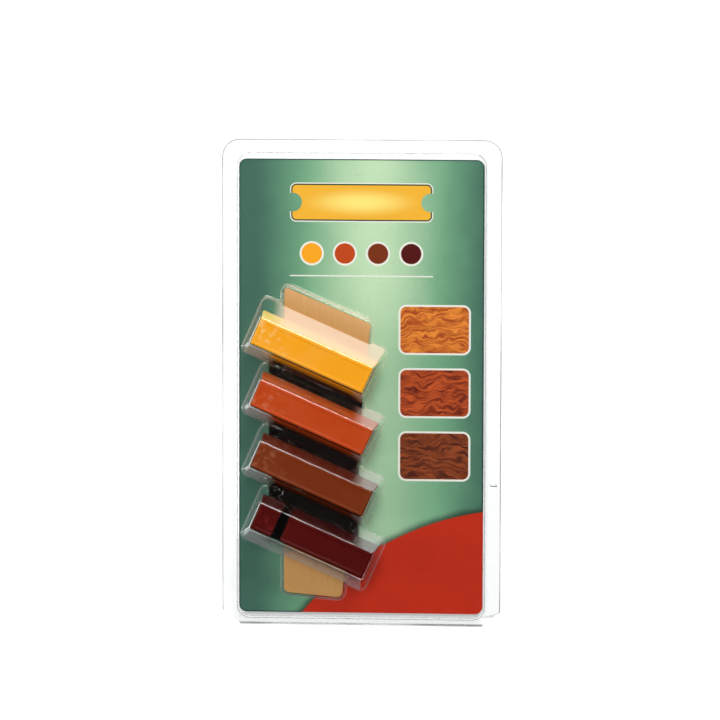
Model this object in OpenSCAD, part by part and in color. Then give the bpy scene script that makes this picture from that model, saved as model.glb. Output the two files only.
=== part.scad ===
// Furniture repair wax in a clear hinged pack.
// Four wax sticks and a flat applicator lie on a printed card, held by a formed front shell.
// The back shell plugs into the front one from behind and carries the card.
// The pack lies on its back: +Z out of the front, +Y to the top edge, the hinge along the bottom edge.
// The origin is on the table, under the middle of the pack.

/* [Pack] */
// Width over the flanges
pack_w = 101.6; // [98:0.2:112]
// Height from the hinge fold to the top edge
pack_l = 177.4; // [174:0.2:190]
// Thickness of the clear sheet
sheet_t = 0.4; // [0.35:0.05:0.55]
// Radius of the flange's two top corners
corner_r = 6.5; // [4:0.5:10]
// Width of the slanting cut at each end of the hinge
hinge_cut_w = 6.6; // [4:0.2:9]
// Height of the slanting cut at each end of the hinge
hinge_cut_l = 5.5; // [3:0.5:9]
// Gap between the closed flanges
flange_gap = 0.1; // [0.1:0.05:0.3]

/* [Raised panel] */
// Width of the flange at the two sides
flange_side = 5.2; // [4.2:0.1:7]
// Width of the flange at the top
flange_top = 4.2; // [3.2:0.1:7]
// Width of the flange at the hinge, with the fold
flange_hinge = 2.2; // [1.8:0.1:4]
// Rise of the panel's inside over the flange's underside
panel_rise = 3; // [2.6:0.1:4]
// Slope of the panel's walls from upright, in degrees
panel_draft = 10; // [5:1:15]
// Radius of the panel's corners, seen from the front
panel_corner_r = 4.5; // [3:0.5:7]
// Radius of the panel's top edge
panel_edge_r = 1; // [0.8:0.1:1.4]
// Gap between the back shell's plug and the panel's walls
plug_gap = 0.3; // [0.2:0.05:0.5]
// Length of the small rib across the right flange
rib_l = 3.2; // [2.4:0.1:3.6]
// Width of that rib
rib_w = 1.4; // [1:0.1:2]
// Height of that rib over the flange
rib_h = 0.5; // [0.3:0.1:0.7]
// Distance of that rib from the hinge edge
rib_y = 52; // [30:1:130]

/* [Card] */
// Thickness of the card
card_t = 0.5; // [0.3:0.05:0.7]
// Radius of the card's corners
card_corner_r = 2.8; // [1:0.2:5]
// Gap between the card's long edges and the panel's walls
card_side_gap = 0.4; // [0.3:0.1:1.5]
// Gap between the card's short edges and the panel's walls
card_end_gap = 2; // [0.5:0.1:4]
// Free height between the card and the panel
card_slack = 0.5; // [0.3:0.1:0.8]

/* [Wax sticks] */
// Length of a stick's top face
stick_l = 44.2; // [41:0.2:46]
// Width of a stick's top face
stick_w = 9.8; // [9:0.2:10.4]
// Height of a stick
stick_h = 9; // [8:0.25:10]
// Slope of a stick's long sides from upright, in degrees
stick_side_draft = 12; // [4:1:16]
// Slope of a stick's ends from upright, in degrees
stick_end_draft = 6; // [2:1:7]
// Radius of a stick's top edges
stick_edge_r = 0.5; // [0.4:0.1:1]
// Tilt of the sticks on the pack, in degrees
stick_tilt = 23.8; // [20:0.2:27]
// Step from one stick to the next, up the pack
stick_pitch = 22.4; // [21.6:0.1:23]
// Length of the snapped-off end of the last stick
snapped_l = 8.2; // [6:0.2:14]
// Gap that the break has opened
snapped_gap = 3.1; // [1:0.1:4]

/* [Cavities] */
// Gap between a stick's top and its cavity, above it and along its sides
stick_gap = 0.2; // [0.15:0.05:0.5]
// Gap between a stick's ends and its cavity
stick_end_gap = 0.2; // [0.15:0.05:0.5]
// Slope of a cavity's long sides from upright where two cavities meet, in degrees
cavity_side_draft = 23.5; // [21:0.5:25]
// Slope of the highest cavity's upper side from upright, in degrees
cavity_upper_draft = 33; // [26:1:38]
// Slope of the lowest cavity's lower side from upright, in degrees
cavity_lower_draft = 28; // [26:1:36]
// Slope of a cavity's ends from upright, in degrees
cavity_end_draft = 11; // [8:0.5:14]
// Radius of a cavity's top edges
cavity_edge_r = 1; // [0.8:0.1:1.4]
// Radius of a cavity's corners at the panel
cavity_foot_r = 2.4; // [1.2:0.2:3]
// Distance from the panel's left wall to the cavities
cavity_left = 1.1; // [0.8:0.1:8]
// Distance from the panel's bottom wall to the lowest cavity
cavity_bottom = 10.2; // [8:0.2:14]

/* [Applicator] */
// Thickness of the applicator
applicator_t = 1.6; // [1.2:0.1:2]
// Length of its straight left edge
applicator_l = 111.5; // [104:0.5:116]
// Width across the slanting blade
blade_w = 31.4; // [28:0.2:34]
// Slope of the blade's edge, in degrees
blade_slope = 23; // [14:0.5:28]
// Width of the tail
tail_w = 21.2; // [18:0.2:26]
// Slope of the tail's end, in degrees
tail_slope = 5; // [0:1:10]
// Radius of the blade's corners
blade_corner_r = 1.2; // [0.6:0.2:3]
// Radius of the tail's corners
tail_corner_r = 2; // [1:0.5:6]
// Width of the bevel that thins the blade's edge
blade_bevel = 5; // [2:0.5:8]
// Thickness that the bevel leaves at the blade's edge
blade_edge_t = 0.6; // [0.4:0.1:0.9]
// Distance from the cavities' left corners to the applicator's left edge
applicator_left = 16.6; // [14:0.2:19]
// Distance from the panel's bottom wall to the applicator's left corner
applicator_bottom = 10.4; // [8:0.2:14]
// Gap around and above the applicator in its pocket
applicator_gap = 0.25; // [0.2:0.05:0.5]
// Free length that the pocket leaves beyond the blade
applicator_play = 0.5; // [0.2:0.1:1.5]
// Slope of the pocket's walls from upright, in degrees
pocket_draft = 16; // [10:1:30]
// Radius of the pocket's top edge
pocket_edge_r = 0.8; // [0.7:0.1:1.2]

/* [Hidden] */

// Lift that keeps loose pieces clear of what they lie on
rest_gap = 0.05;
// Overlap of solids that are fused or cut
bite = 0.2;
// Height of the thinnest slice that a hull is spread from
slice = 0.01;
// Facets of round edges, and steps of an outline's round corners
edge_fn = 24;
corner_steps = 8;
// Number of the highest stick; the lowest is number 0
last_stick = 3;

// Heights over the table, from the back flange up
front_z = sheet_t + flange_gap;
panel_in_z = front_z + panel_rise;
panel_z = panel_in_z + sheet_t;
card_z = panel_in_z - card_slack - card_t;
applicator_z = card_z + card_t + rest_gap;
pocket_z = applicator_z + applicator_t + applicator_gap + sheet_t;
stick_z = applicator_z + applicator_t + rest_gap;
cavity_z = stick_z + stick_h + stick_gap + sheet_t;
cavity_foot_z = panel_in_z - bite;

// The fold's axis runs along X in the middle of the gap between the flanges
fold_in_r = flange_gap / 2;
fold_out_r = fold_in_r + sheet_t;
hinge_y = -pack_l / 2 + fold_out_r;
hinge_z = sheet_t + fold_in_r;
hinge_half = pack_w / 2 - hinge_cut_w;

// The raised panel's outline where it leaves the flange
panel_left = -pack_w / 2 + flange_side;
panel_bottom = -pack_l / 2 + flange_hinge;
panel_top = pack_l / 2 - flange_top;
panel_foot = rectangle(panel_left, panel_bottom, -panel_left, panel_top);

// Half of a cavity's sharp outline at its top, and half of its foot's length
cavity_half_l = stick_l / 2 + stick_end_gap + sheet_t;
cavity_half_w = stick_w / 2 + stick_gap + sheet_t;
foot_half_l = cavity_half_l + (cavity_z - cavity_foot_z) * tan(cavity_end_draft);

// The lowest cavity's middle, so that its foot keeps its distance from the panel's walls
foot_reach_x = foot_half_l * cos(stick_tilt) + foot_low(0) * sin(stick_tilt);
foot_reach_y = foot_half_l * sin(stick_tilt) + foot_low(0) * cos(stick_tilt);
cavity_x = panel_left + cavity_left + foot_reach_x;
cavity_y = panel_bottom + cavity_bottom + foot_reach_y;

// The applicator's sharp outline, from the tail's left corner round to the blade
applicator_x = cavity_x - foot_reach_x + applicator_left;
applicator_y = panel_bottom + applicator_bottom;
applicator_outline = [
    [applicator_x, applicator_y],
    [applicator_x + tail_w, applicator_y - tail_w * tan(tail_slope)],
    [applicator_x + blade_w, applicator_y + applicator_l - blade_w * tan(blade_slope)],
    [applicator_x, applicator_y + applicator_l]
];
applicator_corners = [tail_corner_r, tail_corner_r, blade_corner_r, blade_corner_r];

clear_colour = [0.8, 0.9, 0.95, 0.35];

function rectangle(x0, y0, x1, y1) = [[x0, y0], [x1, y0], [x1, y1], [x0, y1]];
function middle_rectangle(l, w) = rectangle(-l / 2, -w / 2, l / 2, w / 2);

// Direction into the outline from its edge number i; outlines run anticlockwise
function inward(points, i) =
    let (along = points[(i + 1) % len(points)] - points[i])
    [-along.y, along.x] / norm(along);

// Corner number i moved in so that it lies d from both of its edges
function inset_corner(points, i, d) =
    let (before = inward(points, (i + len(points) - 1) % len(points)), after = inward(points, i))
    points[i] + d * (before + after) / (1 + before * after);

function inset(points, d) = [for (i = [0 : len(points) - 1]) inset_corner(points, i, d)];

// The outline with corner number i rounded to radii[i], or left sharp where that is 0
function rounded(points, radii) = [
    for (i = [0 : len(points) - 1])
        let (
            before = -inward(points, (i + len(points) - 1) % len(points)),
            after = -inward(points, i),
            start = atan2(before.y, before.x),
            sweep = (atan2(after.y, after.x) - start + 360) % 360,
            middle = inset_corner(points, i, radii[i])
        )
        for (k = [0 : radii[i] > 0 ? corner_steps : 0])
            let (angle = start + sweep * k / corner_steps)
            middle + radii[i] * [cos(angle), sin(angle)]
];

// Reach of a foot across the cavity's length, for a side that slopes by the angle draft
function foot_across(draft) = cavity_half_w + (cavity_z - cavity_foot_z) * tan(draft);

// Reach of cavity number i's foot below and above its middle
function foot_low(i) = foot_across(i == 0 ? cavity_lower_draft : cavity_side_draft);
function foot_high(i) = foot_across(i == last_stick ? cavity_upper_draft : cavity_side_draft);

// Centre of stick number i, counted from the hinge up
function stick_place(i) = [cavity_x, cavity_y + i * stick_pitch, 0];

// A ring with a round section, from which a round top edge is spread
module edge_ring(corner_r, edge_r, shrink) {
    section_r = edge_r - shrink;
    rotate_extrude($fn = edge_fn)
        intersection() {
            translate([corner_r - edge_r, 0])
                circle(section_r, $fn = edge_fn);
            translate([0, -section_r])
                square([corner_r + section_r, 2 * section_r]);
        }
}

// A formed bulge with sloping walls, round corners and a round top edge.
// shrink draws its skin in evenly: 0 is the outside of the sheet, sheet_t its inside.
module formed(foot, top, foot_r, top_r, edge_r, z_foot, z_top, shrink = 0) {
    hull() {
        for (p = inset(foot, foot_r))
            translate([p.x, p.y, z_foot])
                cylinder(r = foot_r - shrink, h = slice, $fn = edge_fn);
        for (p = inset(top, top_r))
            translate([p.x, p.y, z_top - edge_r])
                edge_ring(top_r, edge_r, shrink);
    }
}

// Both flanges share one outline: round at the top, cut at the hinge
module flange(z) {
    side_y = -pack_l / 2 + hinge_cut_l;
    outline = [
        [-hinge_half, hinge_y],
        [hinge_half, hinge_y],
        [pack_w / 2, side_y],
        [pack_w / 2, pack_l / 2],
        [-pack_w / 2, pack_l / 2],
        [-pack_w / 2, side_y]
    ];
    translate([0, 0, z])
        linear_extrude(sheet_t)
            polygon(rounded(outline, [0, 0, 1, corner_r, corner_r, 1]));
}

// The panel's outline drawn in by d at the height z on its sloping walls
function panel_at(z, d) = inset(panel_foot, d + (z - front_z) * tan(panel_draft));

module panel_bulge(shrink = 0) {
    z_foot = front_z - (shrink > 0 ? bite : 0);
    formed(panel_at(z_foot, 0), panel_at(panel_z, 0), panel_corner_r, panel_corner_r,
           panel_edge_r, z_foot, panel_z, shrink);
}

module plug_bulge(shrink = 0) {
    fit = sheet_t + plug_gap;
    z_foot = shrink > 0 ? -bite : 0;
    corner = panel_corner_r - fit;
    formed(panel_at(z_foot, fit), panel_at(card_z, fit), corner, corner,
           panel_edge_r, z_foot, card_z, shrink);
}

module pocket_bulge(shrink = 0) {
    room = [for (i = [0 : 3]) applicator_outline[i] + [0, i < 2 ? 0 : applicator_play]];
    top = inset(room, -applicator_gap - sheet_t);
    foot = inset(top, -(pocket_z - cavity_foot_z) * tan(pocket_draft));
    corner = tail_corner_r + applicator_gap + sheet_t;
    formed(foot, top, corner, corner, pocket_edge_r, cavity_foot_z, pocket_z, shrink);
}

// The cavity over stick number i
module cavity_bulge(i, shrink = 0) {
    foot = rectangle(-foot_half_l, -foot_low(i), foot_half_l, foot_high(i));
    top = middle_rectangle(2 * cavity_half_l, 2 * cavity_half_w);
    translate(stick_place(i))
        rotate(-stick_tilt)
            formed(foot, top, cavity_foot_r, cavity_edge_r, cavity_edge_r, cavity_foot_z, cavity_z, shrink);
}

// A short rounded rib across the middle of the right flange
module flange_rib() {
    translate([pack_w / 2 - flange_side / 2, rib_y - pack_l / 2, front_z + sheet_t])
        scale([1, rib_w / (2 * rib_h), 1])
            rotate([0, 90, 0])
                intersection() {
                    cylinder(r = rib_h, h = rib_l, center = true, $fn = edge_fn);
                    translate([-rib_h, -rib_h, -rib_l / 2])
                        cube([rib_h + sheet_t / 2, 2 * rib_h, rib_l]);
                }
}

module front_shell() {
    color(clear_colour)
        difference() {
            union() {
                flange(front_z);
                panel_bulge();
                pocket_bulge();
                for (i = [0 : last_stick])
                    cavity_bulge(i);
                flange_rib();
            }
            panel_bulge(sheet_t);
            pocket_bulge(sheet_t);
            for (i = [0 : last_stick])
                cavity_bulge(i, sheet_t);
        }
}

module back_shell() {
    color(clear_colour)
        difference() {
            union() {
                flange(0);
                plug_bulge();
            }
            plug_bulge(sheet_t);
        }
}

// Half a tube of the same sheet, closed on the fold's axis at rest
module living_hinge() {
    color(clear_colour)
        translate([0, hinge_y, hinge_z])
            rotate([0, 90, 0])
                difference() {
                    cylinder(r = fold_out_r, h = 2 * hinge_half, center = true, $fn = 48);
                    cylinder(r = fold_in_r, h = 2 * hinge_half + bite, center = true, $fn = 48);
                    translate([-pack_w, 0, -pack_w])
                        cube(2 * pack_w);
                }
}

module printed_card() {
    half_w = -panel_at(card_z + card_t, sheet_t + card_side_gap)[0].x;
    ends = panel_at(card_z + card_t, sheet_t + card_end_gap);
    outline = rectangle(-half_w, ends[0].y, half_w, ends[2].y);
    color([0.5, 0.72, 0.58])
        translate([0, 0, card_z])
            linear_extrude(card_t)
                polygon(rounded(outline, [for (p = outline) card_corner_r]));
}

// A flat spatula: the slanting blade is bevelled on its upper face
module applicator() {
    bevel_drop = applicator_t - blade_edge_t;
    bevel_angle = atan2(bevel_drop, blade_bevel);
    color([0.8, 0.65, 0.43])
        difference() {
            translate([0, 0, applicator_z])
                linear_extrude(applicator_t)
                    polygon(rounded(applicator_outline, applicator_corners));
            translate([applicator_x, applicator_y + applicator_l, applicator_z + blade_edge_t])
                rotate(-blade_slope)
                    rotate([-bevel_angle, 0, 0])
                        translate([-blade_w, -2 * blade_bevel, 0])
                            cube([3 * blade_w, 3 * blade_bevel, applicator_t]);
        }
}

// A cast stick, narrower at the top, as it lies under cavity number i
module wax_bar(i) {
    foot_l = stick_l + 2 * stick_h * tan(stick_end_draft);
    foot_w = stick_w + 2 * stick_h * tan(stick_side_draft);
    translate(stick_place(i))
        rotate(-stick_tilt)
            formed(middle_rectangle(foot_l, foot_w), middle_rectangle(stick_l, stick_w),
                   stick_edge_r, stick_edge_r, stick_edge_r, stick_z, stick_z + stick_h);
}

// The part of stick number i between two distances along it from its left end
module wax_piece(i, from, to) {
    intersection() {
        wax_bar(i);
        translate(stick_place(i))
            rotate(-stick_tilt)
                translate([from - stick_l / 2, -stick_l / 2, 0])
                    cube([to - from, stick_l, cavity_z]);
    }
}

module stick_amber() {
    color([0.95, 0.63, 0.14])
        wax_bar(last_stick);
}

module stick_orange() {
    color([0.72, 0.28, 0.1])
        wax_bar(2);
}

module stick_brown() {
    color([0.45, 0.18, 0.07])
        wax_bar(1);
}

module stick_mahogany() {
    color([0.35, 0.03, 0.04])
        wax_piece(0, snapped_l + snapped_gap, 2 * stick_l);
}

module stick_mahogany_end() {
    color([0.35, 0.03, 0.04])
        wax_piece(0, -stick_l, snapped_l);
}

back_shell();
living_hinge();
printed_card();
applicator();
stick_amber();
stick_orange();
stick_brown();
stick_mahogany();
stick_mahogany_end();
front_shell();
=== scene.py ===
"""Clear hinged pack of furniture repair wax sticks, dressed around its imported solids.

The pack lies on its back, with its hinge along the low Y edge. All sizes are in metres.
"""

import logging
import math
from dataclasses import dataclass
from enum import Enum
from functools import cache, cached_property
from typing import Any, Callable, Sequence

import bmesh
import bpy
from mathutils import Matrix, Vector


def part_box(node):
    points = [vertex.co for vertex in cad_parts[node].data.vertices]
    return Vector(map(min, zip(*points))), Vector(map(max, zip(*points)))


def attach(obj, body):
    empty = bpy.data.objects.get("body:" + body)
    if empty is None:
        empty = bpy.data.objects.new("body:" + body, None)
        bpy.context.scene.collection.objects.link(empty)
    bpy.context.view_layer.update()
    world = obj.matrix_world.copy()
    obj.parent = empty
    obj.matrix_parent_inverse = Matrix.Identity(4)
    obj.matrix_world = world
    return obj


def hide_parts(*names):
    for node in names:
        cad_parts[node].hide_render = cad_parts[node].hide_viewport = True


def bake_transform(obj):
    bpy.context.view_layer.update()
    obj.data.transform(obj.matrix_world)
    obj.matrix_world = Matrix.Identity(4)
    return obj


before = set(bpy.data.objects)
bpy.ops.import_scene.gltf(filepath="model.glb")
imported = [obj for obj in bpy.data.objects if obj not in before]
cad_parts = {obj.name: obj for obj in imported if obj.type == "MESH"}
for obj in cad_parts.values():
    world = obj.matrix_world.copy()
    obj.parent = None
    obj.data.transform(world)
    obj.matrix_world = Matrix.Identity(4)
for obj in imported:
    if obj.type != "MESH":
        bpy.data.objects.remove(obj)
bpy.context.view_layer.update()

LOG = logging.getLogger("wax_pack")

MM = 0.001
RIGHT_ANGLE = math.pi / 2
# Turn of the sticks on the pack, clockwise
STICK_TILT = math.radians(23.8)
# Length and width of a stick's top
STICK_TOP = (44.2 * MM, 9.8 * MM)
# Where the gap in the snapped stick starts and ends, from its left end
BREAK = (8.2 * MM, 11.3 * MM)
# Distance under which two places count as the same
NEAR = 0.002 * MM
# Upward part of its direction over which a face counts as level
LEVEL = 0.99

Point = tuple[float, float]
Ink = tuple[float, float, float, float]
Object = bpy.types.Object
Socket = bpy.types.NodeSocket


def ink(red: float, green: float, blue: float) -> Ink:
    """Turns a display colour into the linear one that shaders take.

    Args:
        red: Display value from 0 to 255, as are the others.
        green: Display value.
        blue: Display value.

    Returns:
        Linear colour with full alpha.
    """
    def linear(value: float) -> float:
        """Linear share of one display value."""
        share = value / 255
        return share / 12.92 if share <= 0.04045 else ((share + 0.055) / 1.055) ** 2.4

    return (linear(red), linear(green), linear(blue), 1.0)


class Pick(Enum):
    """What a selection in edit mode is made of."""

    VERTICES = 0
    EDGES = 1
    FACES = 2


class WaxTone(Enum):
    """The four wax colours, as display values of the wax, its worn skin and its sides; the side colours are
    painted light and shade.
    """

    # Third values: amber's paler sides are a painted highlight for the glare on its upper side; brown's and
    # mahogany's darker sides are painted shade from the valleys.
    AMBER = ((246, 163, 26), (248, 190, 112), (253, 218, 122))
    ORANGE = ((186, 66, 18), (196, 100, 64), (186, 68, 16))
    BROWN = ((114, 43, 10), (144, 80, 52), (84, 20, 3))
    MAHOGANY = ((72, 2, 1), (98, 20, 16), (50, 5, 3))


@dataclass(frozen=True)
class Outline:
    """Sharp four-cornered outline seen from the front, anticlockwise."""

    corners: tuple[Point, ...]

    @classmethod
    def rectangle(cls, low: Point, high: Point) -> "Outline":
        """Outline of an upright rectangle between two corners."""
        return cls((low, (high[0], low[1]), high, (low[0], high[1])))

    def outward(self, index: int) -> Vector:
        """Finds the direction out of one side.

        Args:
            index: Number of the corner that the side starts at.

        Returns:
            The direction, of length 1.
        """
        count = len(self.corners)
        along = Vector(self.corners[(index + 1) % count]) - Vector(self.corners[index])
        return Vector((along.y, -along.x)).normalized()

    def spread(self, distance: float) -> "Outline":
        """Outline with every side moved outwards.

        Args:
            distance: How far each side moves; inwards if it is negative.

        Returns:
            The wider outline.
        """
        moved = []
        for index, corner in enumerate(self.corners):
            before, after = self.outward(index - 1), self.outward(index)
            shift = (before + after) * (distance / (1 + before.dot(after)))
            moved.append((corner[0] + shift.x, corner[1] + shift.y))
        return Outline(tuple(moved))

    def opening(self, index: int) -> float:
        """Angle between the two sides that meet at a corner."""
        return math.pi - self.outward(index - 1).angle(self.outward(index))


@dataclass(frozen=True)
class Wall:
    """Section of a formed wall: a hollow foot, a slope and a round top edge."""

    low: float
    high: float
    draft: float
    edge_r: float
    foot_r: float
    steps: int = 4

    def reach(self, height: float) -> float:
        """How far outside the sharp top outline the wall stands.

        Args:
            height: Height above the table.

        Returns:
            Distance outwards; negative on the round top edge.
        """
        sine, cosine = math.sin(self.draft), math.cos(self.draft)
        drop = self.high - height
        foot_middle = self.low + self.foot_r
        if drop < self.edge_r * (1 - sine):
            middle = -self.edge_r * (1 - sine) / cosine
            return middle + math.sqrt(max(0.0, self.edge_r ** 2 - (self.edge_r - drop) ** 2))
        if height < foot_middle - self.foot_r * sine:
            middle = (self.foot_r + (self.high - foot_middle) * sine) / cosine
            return middle - math.sqrt(max(0.0, self.foot_r ** 2 - (foot_middle - height) ** 2))
        return drop * math.tan(self.draft)

    def heights(self) -> list[float]:
        """Lists the heights of the section's rings.

        Returns:
            The heights, from the foot up.
        """
        turns = [self.draft + (RIGHT_ANGLE - self.draft) * k / self.steps for k in range(self.steps + 1)]
        foot = [self.low + self.foot_r * (1 - math.sin(turn)) for turn in reversed(turns)]
        edge = [self.high - self.edge_r * (1 - math.sin(turn)) for turn in turns]
        return foot + edge


class Bench:
    """Modelling steps that the pieces share."""

    @staticmethod
    def clear() -> None:
        """Leaves edit mode and deselects everything."""
        if bpy.context.object is not None and bpy.context.object.mode != "OBJECT":
            bpy.ops.object.mode_set(mode="OBJECT")
        bpy.ops.object.select_all(action="DESELECT")

    @staticmethod
    def adopt(name: str) -> Object:
        """Names the primitive that was just added and opens it in edit mode.

        Args:
            name: Name of the piece and of its mesh.

        Returns:
            The piece.
        """
        piece = bpy.context.object
        piece.name = name
        piece.data.name = name
        bpy.ops.object.mode_set(mode="EDIT")
        return piece

    @staticmethod
    def activate(piece: Object) -> None:
        """Makes a piece the only selected object, out of edit mode.

        Args:
            piece: The piece.
        """
        Bench.clear()
        piece.select_set(True)
        bpy.context.view_layer.objects.active = piece

    @staticmethod
    def edit(piece: Object) -> None:
        """Opens a piece in edit mode with nothing else selected."""
        Bench.activate(piece)
        bpy.ops.object.mode_set(mode="EDIT")

    @staticmethod
    def pick(piece: Object, kind: Pick, test: Callable[[Any], bool]) -> int:
        """Selects the parts of a mesh that pass a test, in edit mode.

        Args:
            piece: The object in edit mode.
            kind: Whether vertices, edges or faces are tried.
            test: Says whether one of them is selected.

        Returns:
            The number selected.
        """
        bpy.context.tool_settings.mesh_select_mode = [kind is mode for mode in Pick]
        bpy.ops.mesh.select_all(action="DESELECT")
        mesh = bmesh.from_edit_mesh(piece.data)
        mesh.normal_update()
        chosen = [part for part in (mesh.verts, mesh.edges, mesh.faces)[kind.value] if test(part)]
        for part in chosen:
            part.select_set(True)
        mesh.select_flush_mode()
        bmesh.update_edit_mesh(piece.data)
        return len(chosen)

    @staticmethod
    def pick_all(piece: Object) -> None:
        """Selects every face."""
        Bench.pick(piece, Pick.FACES, lambda face: True)

    @staticmethod
    def round_corner(piece: Object, place: Point, radius: float, opening: float, segments: int = 8) -> None:
        """Rounds the corner of a plate at a place, by the angle between its sides, in edit mode."""
        Bench.pick(piece, Pick.VERTICES, lambda vert: (vert.co.xy - Vector(place)).length < NEAR)
        bpy.ops.mesh.bevel(offset=radius / math.tan(opening / 2), segments=segments, affect="VERTICES")

    @staticmethod
    def plate(name: str, outline: Outline, radii: Sequence[float], height: float) -> Object:
        """Shapes a flat plate from a plane and leaves it in edit mode with its face selected.

        Args:
            name: Name of the piece.
            outline: Sharp outline of the plate.
            radii: Radius of each corner, or 0 for a sharp one.
            height: Height of the plate.

        Returns:
            The plate.
        """
        Bench.clear()
        xs, ys = zip(*outline.corners)
        bpy.ops.mesh.primitive_plane_add(size=1.0)
        piece = Bench.adopt(name)
        size = (max(xs) - min(xs), max(ys) - min(ys), 1.0)
        bpy.ops.transform.resize(value=size, center_override=(0, 0, 0))
        bpy.ops.transform.translate(value=((max(xs) + min(xs)) / 2, (max(ys) + min(ys)) / 2, height))
        box = Outline.rectangle((min(xs), min(ys)), (max(xs), max(ys)))
        for was, now in zip(box.corners, outline.corners):
            Bench.pick(piece, Pick.VERTICES, lambda vert: (vert.co.xy - Vector(was)).length < NEAR)
            bpy.ops.transform.translate(value=(now[0] - was[0], now[1] - was[1], 0.0))
        for index, radius in enumerate(radii):
            if radius > 0:
                Bench.round_corner(piece, outline.corners[index], radius, outline.opening(index))
        Bench.pick_all(piece)
        return piece

    @staticmethod
    def pull_up(distance: float) -> None:
        """Extrudes the selected face upwards."""
        bpy.ops.mesh.extrude_region_move(TRANSFORM_OT_translate={"value": (0.0, 0.0, distance)})

    @staticmethod
    def formed_block(name: str, top: Outline, corner_r: float, wall: Wall, root: float) -> Object:
        """Raises a block whose walls all follow one section.

        Args:
            name: Name of the piece.
            top: Sharp outline at the top.
            corner_r: Corner radius of that outline.
            wall: Section of its walls.
            root: How deep the block goes under its foot.

        Returns:
            The closed block, out of edit mode.
        """
        widest = wall.reach(wall.low)
        piece = Bench.plate(name, top.spread(widest), [corner_r + widest] * 4, wall.low - root)
        Bench.pull_up(root)
        heights = wall.heights()
        for below, above in zip(heights, heights[1:]):
            step = max(0.0, wall.reach(below) - wall.reach(above))
            bpy.ops.mesh.inset(thickness=step, depth=above - below, use_even_offset=True)
        bpy.ops.object.mode_set(mode="OBJECT")
        return piece

    @staticmethod
    def place(piece: Object, spot: Sequence[float], turn: float = 0.0) -> None:
        """Moves a finished mesh to its place and applies the move.

        Args:
            piece: The piece, modelled at the origin.
            spot: Where its middle goes.
            turn: Turn about Z.
        """
        Bench.activate(piece)
        piece.rotation_euler.z = turn
        piece.location = spot
        bpy.ops.object.transform_apply(location=True, rotation=True, scale=True)

    @staticmethod
    def apply(piece: Object, kind: str, **settings: Any) -> None:
        """Adds a modifier with its settings and applies it.

        Args:
            piece: The piece.
            kind: Modifier type.
            settings: Values of the modifier.
        """
        Bench.activate(piece)
        modifier = piece.modifiers.new(kind.title(), kind)
        for name, value in settings.items():
            setattr(modifier, name, value)
        bpy.ops.object.modifier_apply(modifier=modifier.name)

    @staticmethod
    def unite(piece: Object, other: Object) -> None:
        """Fuses another closed block into a piece."""
        Bench.apply(piece, "BOOLEAN", operation="UNION", solver="EXACT", object=other)
        bpy.data.objects.remove(other)

    @staticmethod
    def to_sheet(piece: Object, brim: float, thickness: float) -> None:
        """Turns a filled form into a formed sheet of even thickness.

        Args:
            piece: The filled form.
            brim: Height of its flange's upper face.
            thickness: Thickness of the sheet, which goes inwards.
        """
        Bench.edit(piece)
        Bench.pick(piece, Pick.FACES, lambda face: face.calc_center_median().z < brim - NEAR)
        bpy.ops.mesh.delete(type="FACE")
        Bench.apply(piece, "SOLIDIFY", thickness=thickness, offset=-1.0, use_even_offset=True,
                    use_quality_normals=True)

    @staticmethod
    def smooth(piece: Object, angle: float = 35.0) -> None:
        """Shades a piece smooth over gentle edges, with flats kept flat.

        Args:
            piece: The piece.
            angle: Steepest edge that is smoothed, in degrees.
        """
        Bench.activate(piece)
        bpy.ops.object.shade_smooth_by_angle(angle=math.radians(angle))
        Bench.apply(piece, "WEIGHTED_NORMAL", mode="FACE_AREA", weight=80, keep_sharp=True)


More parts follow.
